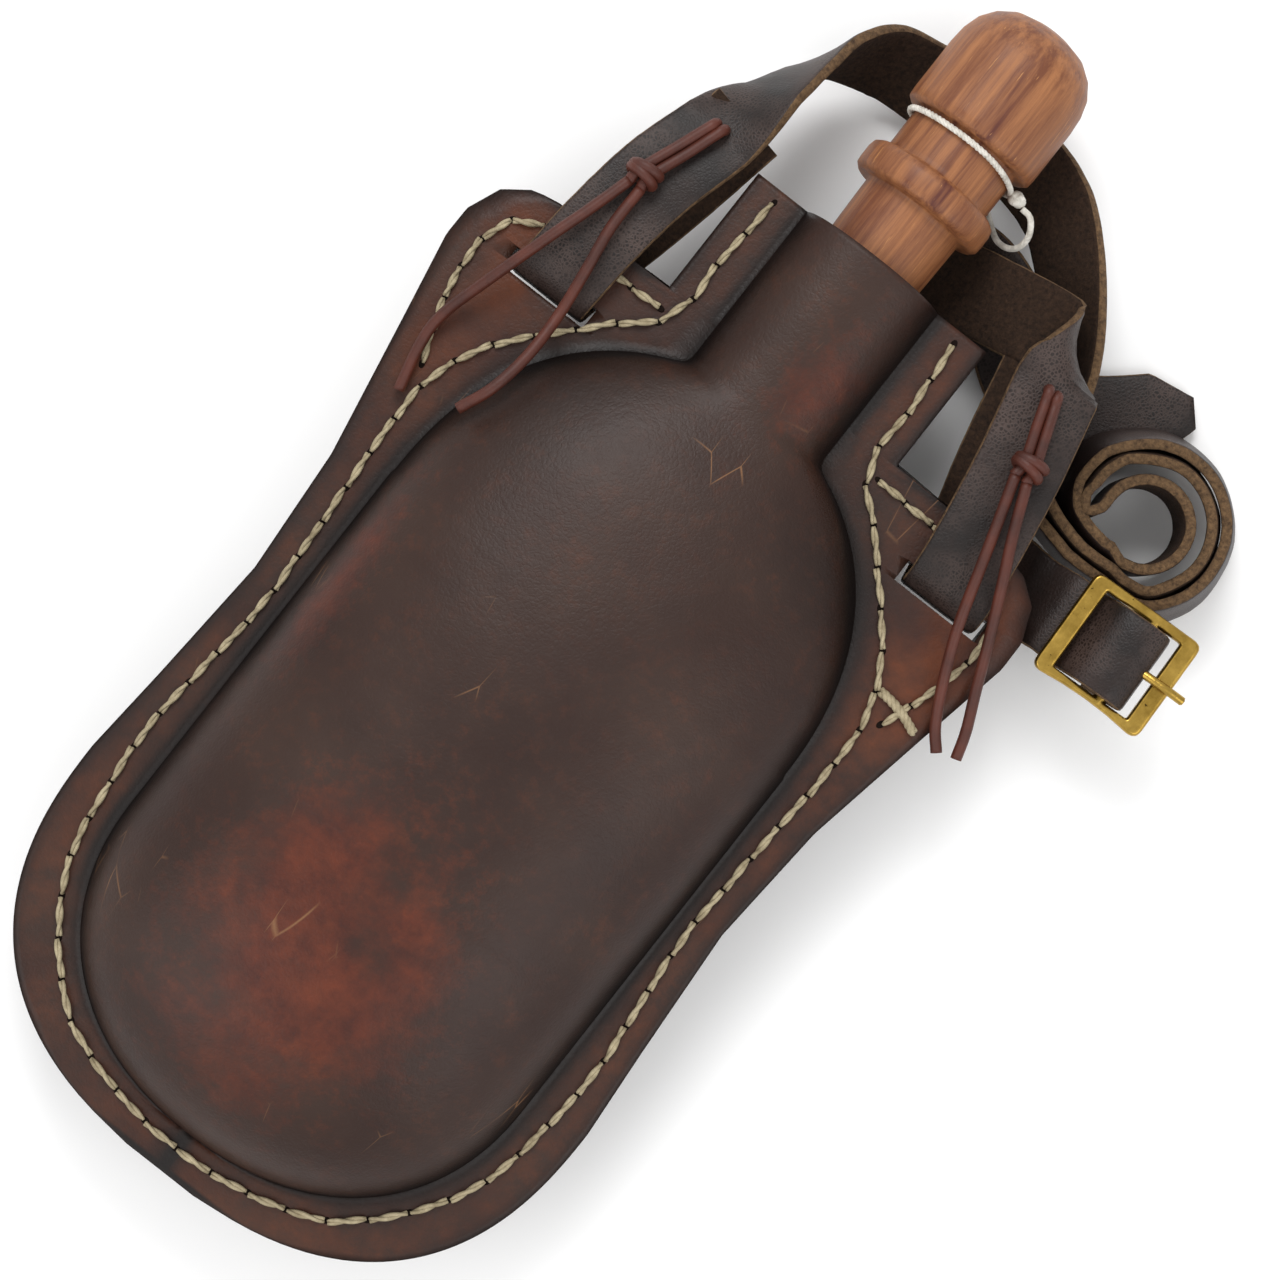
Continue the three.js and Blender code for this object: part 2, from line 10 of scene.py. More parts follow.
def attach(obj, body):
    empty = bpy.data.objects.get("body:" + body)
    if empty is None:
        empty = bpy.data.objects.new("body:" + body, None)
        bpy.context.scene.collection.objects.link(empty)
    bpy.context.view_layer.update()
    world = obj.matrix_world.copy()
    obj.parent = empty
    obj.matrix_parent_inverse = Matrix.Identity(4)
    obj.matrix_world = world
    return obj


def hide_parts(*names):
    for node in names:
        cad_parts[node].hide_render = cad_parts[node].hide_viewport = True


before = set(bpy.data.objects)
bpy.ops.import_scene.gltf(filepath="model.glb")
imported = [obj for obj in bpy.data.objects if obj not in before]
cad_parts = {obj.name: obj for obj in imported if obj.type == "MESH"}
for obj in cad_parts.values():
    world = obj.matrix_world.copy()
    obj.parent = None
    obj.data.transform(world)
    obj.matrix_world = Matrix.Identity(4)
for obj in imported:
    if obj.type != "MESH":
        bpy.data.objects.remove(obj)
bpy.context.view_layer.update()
MM = 0.001

# ---- driving sizes: millimetres, counts, and radians for the turn of the buckle ---------------
PARTING = 28.0
LEATHER = 3.7
GAP = 0.3
HALF_WIDTH = 53.0
BASE_Y, LOW_Y, HIGH_Y = -88.3, -40.0, 50.0
CREASE_TOP = 145
SHOULDER_RUN = 58
HEIGHT_RUN = 128
NECK_HALF, NECK_HEIGHT = 18.0, 16.5
PEAK_Y = -15.0
ROUND = 2.2
STRAP_WIDTH, STRAP_THICK = 19.0, 2.6
FLANGE_BOTTOM, FLANGE_END = -98.0, 147.0
TAB_TOP = 116.0
BULGE_COLUMNS = 64
FLANGE_COLUMNS = 10
SLOTS = [(-50.6, 100.5), (56.0, 99.5)]
SLOT_LENGTH, SLOT_WIDTH = 21.5, 5.0
SLOT_LOW, SLOT_HIGH = 15.0, 41.0
STITCH_RISE, STITCH_RADIUS = 0.95, 0.5
AWL_LONG, AWL_WIDE = 1.1, 0.75
STRAP_STEP = 1.4
COIL = (80.9, 140.3, 13.2)
BUCKLE = (92.7, 113.8, 28.2)
BUCKLE_TURN = 0.04


# ---- camera ---------------------------------------------------------------------------------
# in metres, but the sensor is in millimetres
CAMERA_PLACE = (0.0107, 0.0535)
CAMERA_RIGHT = Vector((0.786, 0.618, 0.0))
CAMERA_UP = Vector((-0.618, 0.786, 0.0))
CAMERA_HEIGHT = 0.75
VIEW_WIDTH = 0.2733
SENSOR = 36


def make_camera():
    """Straight down on the front face, with the bottle leaning to the right."""
    data = bpy.data.cameras.new("camera")
    camera = bpy.data.objects.new("camera", data)
    bpy.context.scene.collection.objects.link(camera)
    turn = Matrix((CAMERA_RIGHT, CAMERA_UP, Vector((0, 0, 1)))).transposed().to_4x4()
    place = (*CAMERA_PLACE, PARTING * MM + CAMERA_HEIGHT)
    camera.matrix_world = Matrix.Translation(place) @ turn
    data.sensor_width = SENSOR
    data.lens = SENSOR * CAMERA_HEIGHT / VIEW_WIDTH
    bpy.context.scene.camera = camera


make_camera()


# ---- helpers --------------------------------------------------------------------------------
def new_object(name, vertices, faces, materials, smooth=True):
    mesh = bpy.data.meshes.new(name)
    mesh.from_pydata([tuple(v) for v in vertices], [], faces)
    mesh.update()
    for material in materials:
        mesh.materials.append(material)
    if smooth:
        mesh.polygons.foreach_set("use_smooth", [True] * len(mesh.polygons))
    piece = bpy.data.objects.new(name, mesh)
    bpy.context.scene.collection.objects.link(piece)
    return piece


def apply_modifiers(piece):
    graph = bpy.context.evaluated_depsgraph_get()
    mesh = bpy.data.meshes.new_from_object(piece.evaluated_get(graph))
    piece.modifiers.clear()
    piece.data = mesh


def face_outwards(piece):
    work = bmesh.new()
    work.from_mesh(piece.data)
    bmesh.ops.recalc_face_normals(work, faces=work.faces)
    work.to_mesh(piece.data)
    work.free()


def vertex_value(piece, name, values):
    layer = piece.data.attributes.new(name, "FLOAT", "POINT")
    layer.data.foreach_set("value", [float(v) for v in values])


def smooth_line(points, step):
    """Catmull-Rom points through a given list, about step apart."""
    points = [Vector(p) for p in points]
    ends = [points[0] * 2 - points[1]] + points + [points[-1] * 2 - points[-2]]
    line = []
    for a, b, c, d in zip(ends, ends[1:], ends[2:], ends[3:]):
        parts = max(1, round((c - b).length / step))
        for k in range(parts):
            t = k / parts
            line.append(0.5 * (2 * b + (c - a) * t + (2 * a - 5 * b + 4 * c - d) * t * t
                               + (3 * b - a - 3 * c + d) * t ** 3))
    line.append(points[-1])
    return line


def tube_rings(line, radius, sides=10):
    """Rings of a round tube; radius is a number or one for each point of the line."""
    rings = []
    side = Vector((0, 0, 1)).cross(line[1] - line[0])
    if side.length < 1e-6:
        side = Vector((1, 0, 0))
    for k, point in enumerate(line):
        along = (line[min(k + 1, len(line) - 1)] - line[max(k - 1, 0)]).normalized()
        side = (side - along * side.dot(along)).normalized()
        other = along.cross(side)
        size = radius[k] if hasattr(radius, "__len__") else radius
        rings.append([point + side * size * math.cos(math.tau * i / sides)
                      + other * size * math.sin(math.tau * i / sides) for i in range(sides)])
    return rings


def add_skin(vertices, faces, rings, closed=False):
    start = len(vertices)
    sides = len(rings[0])
    for ring in rings:
        vertices.extend(p * MM for p in ring)
    spans = len(rings) if closed else len(rings) - 1
    for j in range(spans):
        for i in range(sides):
            a = start + j * sides + i
            b = start + j * sides + (i + 1) % sides
            c = start + (j + 1) % len(rings) * sides + (i + 1) % sides
            d = start + (j + 1) % len(rings) * sides + i
            faces.append((a, b, c, d))
    if not closed:
        faces.append(tuple(start + i for i in reversed(range(sides))))
        faces.append(tuple(start + (len(rings) - 1) * sides + i for i in range(sides)))


# ---- materials ------------------------------------------------------------------------------
class Look:
    """A procedural material: colours blended by noise or vertex values, with bump."""

    def __init__(self, name, rough=0.5, metal=0.0, level=0.5):
        self.material = bpy.data.materials.new(name)
        self.material.use_nodes = True
        self.tree = self.material.node_tree
        self.shader = self.tree.nodes["Principled BSDF"]
        self.shader.inputs["Metallic"].default_value = metal
        self.shader.inputs["Specular IOR Level"].default_value = level
        self.shader.inputs["Roughness"].default_value = rough
        self.place = self.node("ShaderNodeTexCoord").outputs["Object"]
        self.normal = None

    def node(self, kind, **values):
        node = self.tree.nodes.new(kind)
        for key, value in values.items():
            if isinstance(value, bpy.types.NodeSocket):
                self.tree.links.new(value, node.inputs[key.replace("_", " ")])
            elif key.replace("_", " ") in node.inputs:
                node.inputs[key.replace("_", " ")].default_value = value
            else:
                setattr(node, key, value)
        return node

    def stretched(self, scale):
        mapping = self.node("ShaderNodeMapping", Vector=self.place)
        mapping.inputs["Scale"].default_value = scale
        return mapping.outputs["Vector"]

    def noise(self, scale, detail=4.0, rough=0.55, stretch=None):
        place = self.stretched(stretch) if stretch else self.place
        node = self.node("ShaderNodeTexNoise", Vector=place, Scale=scale, Detail=detail, Roughness=rough)
        return node.outputs["Fac"]

    def cells(self, scale, stretch=None):
        place = self.stretched(stretch) if stretch else self.place
        node = self.node("ShaderNodeTexVoronoi", Vector=place, Scale=scale, feature="DISTANCE_TO_EDGE")
        return node.outputs["Distance"]

    def value(self, name):
        return self.node("ShaderNodeAttribute", attribute_name=name).outputs["Fac"]

    def mottled(self, name, low, high):
        """A vertex value whose edge is broken up by fine noise."""
        speckle = self.noise(260, 7, 0.75)
        rough = self.node("ShaderNodeMath", operation="MULTIPLY_ADD")
        self.tree.links.new(speckle, rough.inputs[0])
        rough.inputs[1].default_value = 1.1
        self.tree.links.new(self.value(name), rough.inputs[2])
        return self.ramp(rough.outputs[0], low + 0.5, high + 0.5)

    def ramp(self, factor, low, high):
        node = self.node("ShaderNodeMapRange", Value=factor)
        node.inputs["From Min"].default_value = low
        node.inputs["From Max"].default_value = high
        return node.outputs["Result"]

    def mix(self, factor, first, second):
        node = self.tree.nodes.new("ShaderNodeMix")
        node.data_type = "RGBA"
        for socket, value in ((node.inputs[0], factor), (node.inputs[6], first), (node.inputs[7], second)):
            if isinstance(value, bpy.types.NodeSocket):
                self.tree.links.new(value, socket)
            elif isinstance(value, str):
                socket.default_value = (*hex_colour(value), 1)
            else:
                socket.default_value = value
        return node.outputs[2]

    def bump(self, height, strength, distance):
        node = self.node("ShaderNodeBump", Height=height, Strength=strength, Distance=distance)
        if self.normal:
            self.tree.links.new(self.normal, node.inputs["Normal"])
        self.normal = node.outputs["Normal"]

    def done(self, colour, roughness=None):
        self.tree.links.new(colour, self.shader.inputs["Base Color"])
        if roughness:
            self.tree.links.new(roughness, self.shader.inputs["Roughness"])
        if self.normal:
            self.tree.links.new(self.normal, self.shader.inputs["Normal"])
        return self.material

    def range(self, factor, low, high):
        node = self.node("ShaderNodeMapRange", Value=factor)
        node.inputs["To Min"].default_value = low
        node.inputs["To Max"].default_value = high
        return node.outputs["Result"]


def hex_colour(code):
    """A screen colour such as 3b302c as linear light."""
    parts = [int(code[i:i + 2], 16) / 255 for i in (0, 2, 4)]
    return [c / 12.92 if c <= 0.04045 else ((c + 0.055) / 1.055) ** 2.4 for c in parts]


def body_leather():
    look = Look("body_leather", level=0.3)
    cloud = look.ramp(look.noise(28, 5), 0.35, 0.7)
    colour = look.mix(cloud, "29160f", "35231b")
    worn = look.mix(look.ramp(look.noise(90, 7, 0.7), 0.35, 0.7), "3a150b", "632a13")
    colour = look.mix(look.mottled("worn", 0.2, 0.95), colour, worn)
    tab = look.mix(look.ramp(look.noise(55, 6), 0.3, 0.7), "34160d", "6b3618")
    colour = look.mix(look.mottled("tab", 0.05, 1.0), colour, tab)
    # near black: the leather's dark edges, plus painted shade along the crease and at the shoulders
    colour = look.mix(look.value("dark"), colour, "0d0807")
    scratch = look.ramp(look.cells(120, (1, 0.22, 1)), 0.012, 0.0)
    rare = look.ramp(look.noise(35, 2), 0.62, 0.7)
    both = look.node("ShaderNodeMath", operation="MULTIPLY")
    look.tree.links.new(scratch, both.inputs[0])
    look.tree.links.new(rare, both.inputs[1])
    colour = look.mix(both.outputs[0], colour, "7a5638")
    look.bump(look.noise(420, 6, 0.7), 0.35, 0.0004)
    look.bump(look.ramp(look.cells(900), 0, 0.25), 0.12, 0.0002)
    rough = look.range(look.noise(50, 4), 0.34, 0.56)
    return look.done(colour, rough)


def strap_grain():
    look = Look("strap_grain", level=0.32)
    colour = look.mix(look.ramp(look.noise(70, 4), 0.35, 0.7), "150e0c", "271a16")
    crackle = look.ramp(look.cells(1300), 0.0, 0.3)
    shown = look.ramp(look.noise(60, 3), 0.4, 0.7)
    colour = look.mix(crackle, look.mix(shown, colour, "4a3c37"), colour)
    look.bump(crackle, 0.18, 0.0003)
    look.bump(look.noise(300, 4), 0.2, 0.0004)
    return look.done(colour, look.range(look.noise(120, 4), 0.38, 0.58))


def strap_flesh():
    look = Look("strap_flesh", rough=0.9, level=0.2)
    fuzz = look.ramp(look.noise(900, 6, 0.75), 0.3, 0.75)
    colour = look.mix(fuzz, "1b1411", "4a3628")
    look.bump(fuzz, 0.8, 0.0006)
    return look.done(colour)


def strap_edge():
    look = Look("strap_edge", rough=0.85, level=0.25)
    fibre = look.ramp(look.noise(750, 6, 0.75), 0.3, 0.72)
    colour = look.mix(fibre, "35261c", "8a6c4c")
    look.bump(fibre, 0.9, 0.0006)
    return look.done(colour)


def thong_leather():
    look = Look("thong_leather", level=0.4)
    colour = look.mix(look.ramp(look.noise(120, 5), 0.3, 0.7), "36170f", "562618")
    look.bump(look.noise(600, 5, 0.7), 0.4, 0.0003)
    return look.done(colour, look.range(look.noise(90), 0.42, 0.62))


def thread_look():
    look = Look("waxed_thread", rough=0.75, level=0.3)
    dirt = look.ramp(look.noise(300, 5, 0.7), 0.3, 0.75)
    colour = look.mix(dirt, "7a6d54", "bdb091")
    look.bump(look.noise(1500, 4, 0.7), 0.6, 0.0003)
    return look.done(colour)


def string_look():
    look = Look("cotton_string", rough=0.85, level=0.25)
    colour = look.mix(look.ramp(look.noise(400, 4), 0.3, 0.7), "b8b3a8", "ece8df")
    look.bump(look.ramp(look.noise(1600, 3, stretch=(1, 0.5, 1)), 0.3, 0.7), 0.7, 0.0004)
    return look.done(colour)


def wood_look():
    look = Look("oiled_wood", level=0.35)
    streak = look.ramp(look.noise(420, 6, 0.75, stretch=(1, 0.05, 1)), 0.36, 0.66)
    colour = look.mix(streak, "6a3d27", "9c6740")
    vein = look.ramp(look.noise(210, 4, 0.65, stretch=(1, 0.07, 1)), 0.56, 0.7)
    colour = look.mix(vein, colour, "54291f")
    pores = look.ramp(look.noise(1500, 3, 0.7, stretch=(1, 0.05, 1)), 0.66, 0.74)
    colour = look.mix(pores, colour, "b98450")
    look.bump(look.noise(900, 5, 0.7, stretch=(1, 0.06, 1)), 0.4, 0.0003)
    return look.done(colour, look.range(streak, 0.42, 0.58))


def brass_look():
    look = Look("aged_brass", metal=1.0)
    stain = look.ramp(look.noise(160, 6, 0.7), 0.35, 0.75)
    colour = look.mix(stain, "b8974a", "7f6428")
    pits = look.ramp(look.noise(900, 2, 0.5), 0.7, 0.78)
    colour = look.mix(pits, colour, "3a2c14")
    look.bump(look.noise(350, 5), 0.25, 0.0004)
    return look.done(colour, look.range(look.noise(140, 5), 0.22, 0.42))


BODY = body_leather()
GRAIN = strap_grain()
FLESH = strap_flesh()
EDGE = strap_edge()
THONG = thong_leather()
THREAD = thread_look()
STRING = string_look()
WOOD = wood_look()
BRASS = brass_look()


# ---- cords: lace tails and the string's tail ------------------------------------------------
LACE = 1.25
TAILS = {
    "left_thong_tail_a": [(-50.7, 127.9, 40.8), (-53.5, 118, 41.2), (-56.6, 108, 41.5), (-61, 94, 39.5),
                          (-64.6, 82, 36), (-64.6, 74, 34.6), (-62.2, 63.5, 34.2)],
    "left_thong_tail_b": [(-47.7, 127.9, 40.8), (-47.6, 118, 41.4), (-46.2, 108, 41.4), (-45, 97, 39.5),
                          (-44.6, 86, 42.5), (-46, 76, 44.4), (-49.2, 68, 43)],
    "right_thong_tail_a": [(51.2, 129.3, 42), (54.5, 119, 42), (57.3, 110, 42), (61.5, 97, 40.2),
                           (66.5, 86, 36.5), (71, 78, 34.4), (74.8, 73.5, 34)],
    "right_thong_tail_b": [(54.2, 129.3, 42), (58.6, 119, 42), (63, 110, 41.6), (68.5, 99, 38),
                           (73.2, 89, 34.8), (77, 81, 33.4), (79, 75, 32.8)],
}
STRING_TAIL = [(17.9, 176, 29.5), (20.5, 175.6, 29.2), (22.6, 172.8, 27.8), (22.6, 170, 25),
               (20.8, 168.8, 21.2), (18, 169.2, 17.6), (15, 171.4, 14.6), (12, 174, 12.8),
               (10.4, 175.2, 12.4)]


def make_cord(name, points, radius, material, body):
    line = smooth_line(points, 1.0)
    vertices, faces = [], []
    add_skin(vertices, faces, tube_rings(line, radius, 12))
    piece = new_object(name + "_lace", vertices, faces, [material])
    face_outwards(piece)
    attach(piece, body)
    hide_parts(name)
    return piece


for tail_name, tail_points in TAILS.items():
    make_cord(tail_name, tail_points, LACE, THONG, "bottle")


def lump(name, centre, sizes, material, seed=0.0):
    """A small rounded knot with its turns showing as ridges."""
    vertices, faces = [], []
    rings = []
    for j in range(1, 14):
        polar = math.pi * j / 14
        ring = []
        for i in range(20):
            turn = math.tau * i / 20
            ridge = 1 + 0.12 * math.sin(3 * turn + 4 * polar + seed)
            ring.append(Vector((centre[0] + sizes[0] * ridge * math.sin(polar) * math.cos(turn),
                                centre[1] + sizes[1] * ridge * math.sin(polar) * math.sin(turn),
                                centre[2] + sizes[2] * ridge * math.cos(polar))))
        rings.append(ring)
    add_skin(vertices, faces, rings)
    piece = new_object(name, vertices, faces, [material])
    face_outwards(piece)
    return piece


end_knot = lump("string_end_overhand", (8.4, 176.6, 12.4), (1.5, 1.5, 1.4), STRING)
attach(end_knot, "string")
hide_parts("string_end_knot")
make_cord("string_tail", STRING_TAIL, 0.7, STRING, "string")


# ---- leather halves -------------------------------------------------------------------------
def superellipse(share, power=ROUND):
    return max(0.0, 1 - abs(share) ** power) ** (1 / ROUND)


def soft_max(a, b, blend=3.0):
    return (a + b + math.hypot(a - b, blend)) / 2 - blend / 8


def bulge_half_width(y):
    if y < BASE_Y:
        return 0.0
    if y < LOW_Y:
        return HALF_WIDTH * superellipse((y - LOW_Y) / (LOW_Y - BASE_Y))
    if y < HIGH_Y:
        return HALF_WIDTH
    return soft_max(HALF_WIDTH * superellipse(min(1, (y - HIGH_Y) / SHOULDER_RUN)), NECK_HALF)


def bulge_height(y, peak):
    if y < BASE_Y:
        return 0.0
    run = PEAK_Y - BASE_Y if y < PEAK_Y else HEIGHT_RUN
    body = peak * superellipse(min(1, abs(y - PEAK_Y) / run), 2.4)
    return body if y < PEAK_Y else soft_max(body, NECK_HEIGHT)


NECK_FLANGE_HALF = 30.8
FLANGE_WIDEST, FLANGE_WIDEST_Y = 66.9, -36
# the flange's right side, from the widest point of the belly up to the tab's rounded corner
SIDE = [(66.9, -36), (65.2, -15), (63.2, 15), (65.3, 44), (71.2, 76), (75.0, 96), (74.9, 103),
        (71.8, 110.5), (66, 114.8), (60, 115.9)]


def flange_half_width(y):
    if y < FLANGE_WIDEST_Y:
        share = min(1.0, (FLANGE_WIDEST_Y - y) / 62)
        return max(9.0, FLANGE_WIDEST * max(0.0, 1 - share ** 2.5) ** 0.4)
    if y > TAB_TOP:
        return NECK_FLANGE_HALF
    return float(np.interp(y, [p[1] for p in SIDE], [p[0] for p in SIDE]))


def body_rows():
    """Heights up the bottle, closest together where the outline turns fastest."""
    rows = list(FLANGE_BOTTOM + 9.7 * np.linspace(0, 1, 12) ** 1.3)
    rows += list(BASE_Y + 0.05 + 50 * np.linspace(0, 1, 60) ** 1.9)
    rows += list(np.arange(-37, 100, 1.3))
    rows += list(np.arange(100, 115.8, 0.8)) + [115.9, 116.05]
    rows += list(np.arange(117, FLANGE_END, 1.2)) + [FLANGE_END]
    return rows


def half_surface(peak, flat_back):
    """Rows across the half, each from edge to edge: height over the parting plane."""
    vertices = []
    columns = BULGE_COLUMNS + 2 * FLANGE_COLUMNS + 1
    rows = body_rows()
    level = LEATHER + GAP / 2
    for y in rows:
        width = flange_half_width(y)
        crease = min(max(bulge_half_width(y), 6.0), width - 2.5)
        height = bulge_height(y, peak)
        for k in range(columns):
            if k < FLANGE_COLUMNS:
                x = -width + (width - crease) * k / FLANGE_COLUMNS
                z = level
            elif k > columns - 1 - FLANGE_COLUMNS:
                x = width - (width - crease) * (columns - 1 - k) / FLANGE_COLUMNS
                z = level
            else:
                angle = math.pi * (1 - (k - FLANGE_COLUMNS) / BULGE_COLUMNS)
                cosine = math.cos(angle)
                x = math.copysign(abs(cosine) ** (2 / ROUND), cosine) * crease
                z = GAP / 2 + height * math.sin(angle) ** (2 / ROUND)
                crease_dip = 0.15 if z < level + 3 and BASE_Y < y < CREASE_TOP else 0
                z = soft_max(level, z, 1.2) - crease_dip
            if flat_back:
                z = min(z, PARTING)
            vertices.append((x, y, z))
    faces = [(j * columns + k, j * columns + k + 1, (j + 1) * columns + k + 1, (j + 1) * columns + k)
             for j in range(len(rows) - 1) for k in range(columns - 1)]
    return vertices, faces


def wrinkle(x, y):
    """Slow waves all over the belly, and fine folds that fade away from its crease."""
    slow = noise.noise(Vector((x / 22, y / 22, 1.7))) * 0.45
    edge = abs(abs(x) - bulge_half_width(y))
    fold = noise.noise(Vector((x / 2.2, y / 2.2, 5.1))) * 0.35
    return slow + fold * math.exp(-edge / 3.5)


def make_half(name, node, peak, back):
    vertices, faces = half_surface(peak, back)
    placed = []
    for x, y, z in vertices:
        lift = wrinkle(x, y if not back else -y)
        if back and z > PARTING - 3.0:
            lift = -abs(lift) * 0.1
        inner = abs(x) < bulge_half_width(y) - 0.5
        z_new = z + (lift if inner else lift * 0.25)
        if back:
            z_new = min(z_new, PARTING)
        level = PARTING + z_new if not back else PARTING - z_new
        placed.append((x * MM, y * MM, level * MM))
    piece = new_object(name, placed, faces if not back else [f[::-1] for f in faces], [BODY])
    for key, values in leather_values(vertices).items():
        vertex_value(piece, key, values)
    thick = piece.modifiers.new("thick", "SOLIDIFY")
    thick.thickness = LEATHER * MM
    thick.offset = -1
    apply_modifiers(piece)
    cut_slots(piece)
    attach(piece, "bottle")
    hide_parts(node)
    return piece


def cut_slots(piece):
    """The openings in the shoulder tabs that the straps pass through."""
    for x, y in SLOTS:
        corners = [(x + i * SLOT_LENGTH / 2, y + j * SLOT_WIDTH / 2, z)
                   for i in (-1, 1) for j in (-1, 1) for z in (SLOT_LOW, SLOT_HIGH)]
        corners = [tuple(c * MM for c in corner) for corner in corners]
        sides = [(0, 1, 3, 2), (4, 6, 7, 5), (0, 4, 5, 1), (2, 3, 7, 6), (0, 2, 6, 4), (1, 5, 7, 3)]
        cutter = new_object("slot_cutter", corners, sides, [], smooth=False)
        face_outwards(cutter)
        cut = piece.modifiers.new("slot", "BOOLEAN")
        cut.operation = "DIFFERENCE"
        cut.solver = "EXACT"
        cut.object = cutter
        apply_modifiers(piece)
        bpy.data.objects.remove(cutter)


def patch(x, y, middle, size, sharpness=1.0):
    """1 in the middle of an oval patch, fading to 0 outside it."""
    away = ((x - middle[0]) / size[0]) ** 2 + ((y - middle[1]) / size[1]) ** 2
    return math.exp(-away ** sharpness)


def leather_values(vertices):
    """Where the leather is worn red, orange at the tabs, near black at edges, and darkened by painted shade
    along the creases and at the shoulders.
    """
    worn, tab, dark = [], [], []
    for x, y, _ in vertices:
        cloud = noise.fractal(Vector((x / 16, y / 16, 0.3)), 1.0, 2.0, 4) * 0.5
        fine = noise.fractal(Vector((x / 5, y / 5, 9.3)), 1.0, 2.0, 4) * 0.3
        belly = patch(x, y, (-3, -38), (27, 34), 1.5)
        streak = 0.6 * patch(x, y, (-46, 28), (5, 26))
        neck = 0.5 * patch(x, y, (8, 118), (8, 20))
        worn.append(min(1, max(0, (belly + streak + neck) * (1 + cloud * 1.2 + fine) * 0.95)))
        outside = abs(x) > bulge_half_width(y) + 1.5
        right_tab = patch(x, y, (66, 96), (13, 20)) * 1.1
        left_tab = patch(x, y, (-58, 96), (16, 22)) * 0.55
        rim = 0.22 + 0.3 * cloud
        tab.append(min(1, max(0, (right_tab + left_tab + rim) * (1 + cloud + fine))) if outside else 0)
        near_edge = math.exp(-((flange_half_width(y) - abs(x)) / 2.0) ** 2) if y > -96.5 else 1
        # painted shade: darker along the crease where the bulge meets the flange
        crease_shade = math.exp(-((abs(x) - bulge_half_width(y)) / 3.2) ** 2)
        # painted shade at the shoulders, where the crease curves in towards the neck
        shoulder = 0.5 * math.exp(-((y - 92) / 18) ** 2) * math.exp(-((abs(x) - 38) / 16) ** 2)
        if 100 < y < TAB_TOP and abs(x) > 32:
            near_edge = max(near_edge, math.exp(-((TAB_TOP - y) / 2.0) ** 2))
        dark.append(min(0.95, max(0, 0.85 * near_edge + 0.9 * crease_shade + shoulder + cloud * 0.3)))
    return {"worn": worn, "tab": tab, "dark": dark}


make_half("front_leather", "front_shell", 32.0, False)
make_half("back_leather", "back_shell", 31.0, True)


# ---- stitching ------------------------------------------------------------------------------
SEAM_HALF = [(24.3, 144), (25.6, 128), (26, 112), (36, 102), (47, 90), (53, 83), (57.5, 74),
             (59.5, 62), (58, 34), (57, 9), (59.5, -17), (59.8, -32), (56.5, -56), (51, -67),
             (42, -78.5), (28, -87.6)]
TAB_SEAM = [(29.5, 111.5), (41, 111), (62, 109.5), (67.8, 102), (68.2, 91), (65.6, 81), (62, 71)]


def hole_shade_look():
    # painted shade: near-black colour standing in for the shaded hollow of each awl hole
    look = Look("awl_hole_shade", rough=0.9, level=0.1)
    return look.done(look.mix(look.noise(400), "0a0706", "1d120d"))


HOLE_SHADE = hole_shade_look()


def even_points(points, count, z):
    line = smooth_line([(x, y, z) for x, y in points], 0.5)
    lengths = np.cumsum([0] + [(b - a).length for a, b in zip(line, line[1:])])
    wanted = np.linspace(0, lengths[-1], count + 1)
    return [Vector([float(np.interp(w, lengths, [p[i] for p in line])) for i in range(3)]) for w in wanted]


def stitch_run(name, points, count, side):
    """Two-ply stitches, lowest at both ends, with a painted shade mark at each awl hole."""
    surface = PARTING + side * (LEATHER + GAP / 2)
    holes = even_points(points, count, surface)
    vertices, faces = [], []
    hole_vertices, hole_faces = [], []
    for k, (a, b) in enumerate(zip(holes, holes[1:])):
        along = (b - a).normalized()
        across = Vector((0, 0, 1)).cross(along)
        slant = 0.35 * math.sin(k * 2.4) + 0.35
        for ply in (0, math.pi):
            line = []
            for m in range(11):
                t = m / 10
                rise = STITCH_RISE * math.sin(math.pi * (0.06 + 0.88 * t)) ** 0.45 + 0.1
                turn = ply + 5.2 * t + k
                middle = a.lerp(b, 0.04 + 0.92 * t) + across * slant * (t - 0.5)
                middle += across * 0.36 * math.cos(turn)
                middle.z = surface + side * (rise + 0.3 * math.sin(turn))
                line.append(middle)
            radii = [STITCH_RADIUS * (0.72 + 0.28 * math.sin(math.pi * m / 10)) for m in range(11)]
            add_skin(vertices, faces, tube_rings(line, radii, 6))
    # a near-black lens at each awl hole: painted shade of the hole's hollow
    for k, hole in enumerate(holes):
        ahead = (holes[min(k + 1, count)] - holes[max(k - 1, 0)]).normalized()
        across = Vector((0, 0, 1)).cross(ahead)
        rings = []
        for level, size in ((0.02, 1.0), (0.1, 0.7), (0.12, 0.15)):
            rings.append([hole + ahead * AWL_LONG * size * math.cos(math.tau * i / 10)
                          + across * AWL_WIDE * size * math.sin(math.tau * i / 10)
                          + Vector((0, 0, side * level)) for i in range(10)])
        add_skin(hole_vertices, hole_faces, rings)
    piece = new_object(name.replace("thread", "stitches"), vertices, faces, [THREAD])
    marks = new_object(name.replace("thread", "awl_hole_shades"), hole_vertices, hole_faces, [HOLE_SHADE])
    for part in (piece, marks):
        face_outwards(part)
        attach(part, "bottle")
    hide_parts(name)


mirrored = [(-x, y) for x, y in reversed(SEAM_HALF)]
for face_name, face_side in (("front", 1), ("back", -1)):
    stitch_run(f"seam_thread_{face_name}", SEAM_HALF + [(0, -92.3)] + mirrored, 64, face_side)
    stitch_run(f"right_tab_thread_{face_name}", TAB_SEAM, 10, face_side)
    stitch_run(f"left_tab_thread_{face_name}", [(-x, y) for x, y in TAB_SEAM], 10, face_side)


